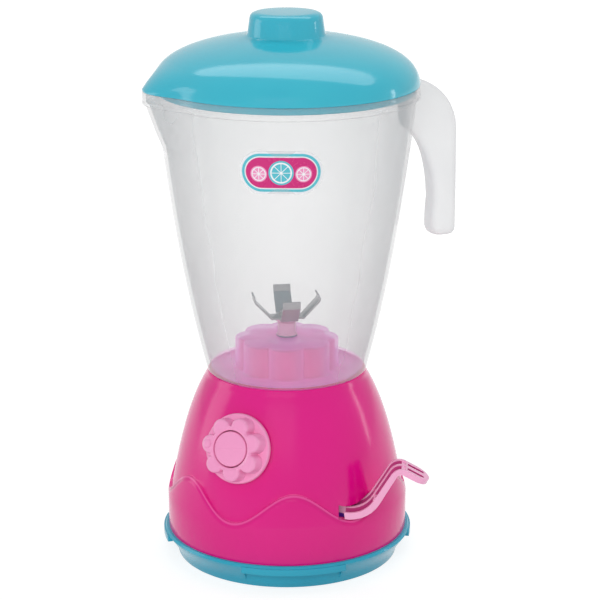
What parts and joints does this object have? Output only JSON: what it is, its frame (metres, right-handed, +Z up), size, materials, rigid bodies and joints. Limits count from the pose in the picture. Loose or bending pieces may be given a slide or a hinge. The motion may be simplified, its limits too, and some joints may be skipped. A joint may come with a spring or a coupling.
{
  "type": "toy blender",
  "caption": "Toy blender with a round flared base, a side push lever and a flower dial, a clear jug with spout and handle over bent blades, and a domed lid with a knob.",
  "frame": {"origin": "on the table under the blades' axis, at the centre of the foot ring", "axes": "+Z up along the blades' axis, -Y towards the front of the base, where the dial is, +X towards the lever"},
  "size_m": [0.1435, 0.1194, 0.2524],
  "materials": {
    "teal_plastic": "glossy moulded",
    "deep_teal_plastic": "glossy moulded",
    "magenta_plastic": "glossy moulded",
    "light_pink_plastic": "satin moulded",
    "pink_plastic": "satin moulded",
    "rose_plastic": "satin moulded",
    "clear_plastic": "clear glossy",
    "label_film": "printed film",
    "silver_plastic": "silver satin",
    "purple_plastic": "moulded",
    "yellow_plastic": "moulded",
    "white_plastic": "moulded",
    "steel": "drawn and plated"
  },
  "bodies": {
    "base": {"base_shell": "magenta_plastic", "shaft_bush": "white_plastic", "gearbox_frame": "purple_plastic", "gearbox_screws": "steel", "lever_pin": "steel", "lever_spring": "steel", "bottom_plate": "deep_teal_plastic", "bottom_screws": "steel"},
    "lever": {"lever": "light_pink_plastic"},
    "gear_train": {"gear_axle": "steel", "pinion_gear": "white_plastic", "crown_gear": "yellow_plastic"},
    "drive": {"drive_shaft": "steel", "shaft_pinion": "white_plastic", "drive_coupling": "yellow_plastic"},
    "dial": {"dial_knob": "pink_plastic", "dial_cap": "light_pink_plastic", "dial_washer": "steel", "dial_screw": "steel"},
    "jug": {"jug": "clear_plastic", "jug_label": "label_film"},
    "blade_unit": {"blade_spindle": "rose_plastic", "blade_washer": "white_plastic", "blades": "silver_plastic", "blade_screw": "steel", "jug_coupling": "rose_plastic"},
    "lid": {"lid": "teal_plastic"}
  },
  "joints": [
    {"name": "lever_press", "type": "hinge", "parent": "base", "child": "lever", "pos_m": [0.02741, -0.03359, 0.047], "axis": [0.1219, 0.9925, 0], "range_deg": [0, 9], "stiffness_Nm_per_rad": 0.15, "springref_deg": -11.46, "deforming": ["lever_spring"]},
    {"name": "gear_turn", "type": "hinge", "parent": "base", "child": "gear_train", "pos_m": [-0.00244, -0.01985, 0.04034], "axis": [0.1219, 0.9925, 0], "range_deg": [-28, 1]},
    {"name": "drive_turn", "type": "hinge", "parent": "base", "child": "drive", "pos_m": [0, 0, 0.05], "axis": [0, 0, 1], "range_deg": [-110, 2]},
    {"name": "dial_turn", "type": "hinge", "parent": "base", "child": "dial", "pos_m": [-0.02335, -0.04045, 0.063], "axis": [-0.4793, -0.8301, 0.2849], "continuous": true},
    {"name": "jug_lift", "type": "slide", "parent": "base", "child": "jug", "axis": [0, 0, 1], "range_m": [0, 0.12]},
    {"name": "blades_turn", "type": "hinge", "parent": "jug", "child": "blade_unit", "pos_m": [0, 0, 0.105], "axis": [0, 0, 1], "range_deg": [-110, 2]},
    {"name": "lid_lift", "type": "slide", "parent": "jug", "child": "lid", "axis": [0, 0, 1], "range_m": [0, 0.06]}
  ],
  "couplings": [
    {"joint": "gear_turn", "follows": "lever_press", "ratio": -3},
    {"joint": "drive_turn", "follows": "lever_press", "ratio": -12},
    {"joint": "blades_turn", "follows": "lever_press", "ratio": -12}
  ]
}
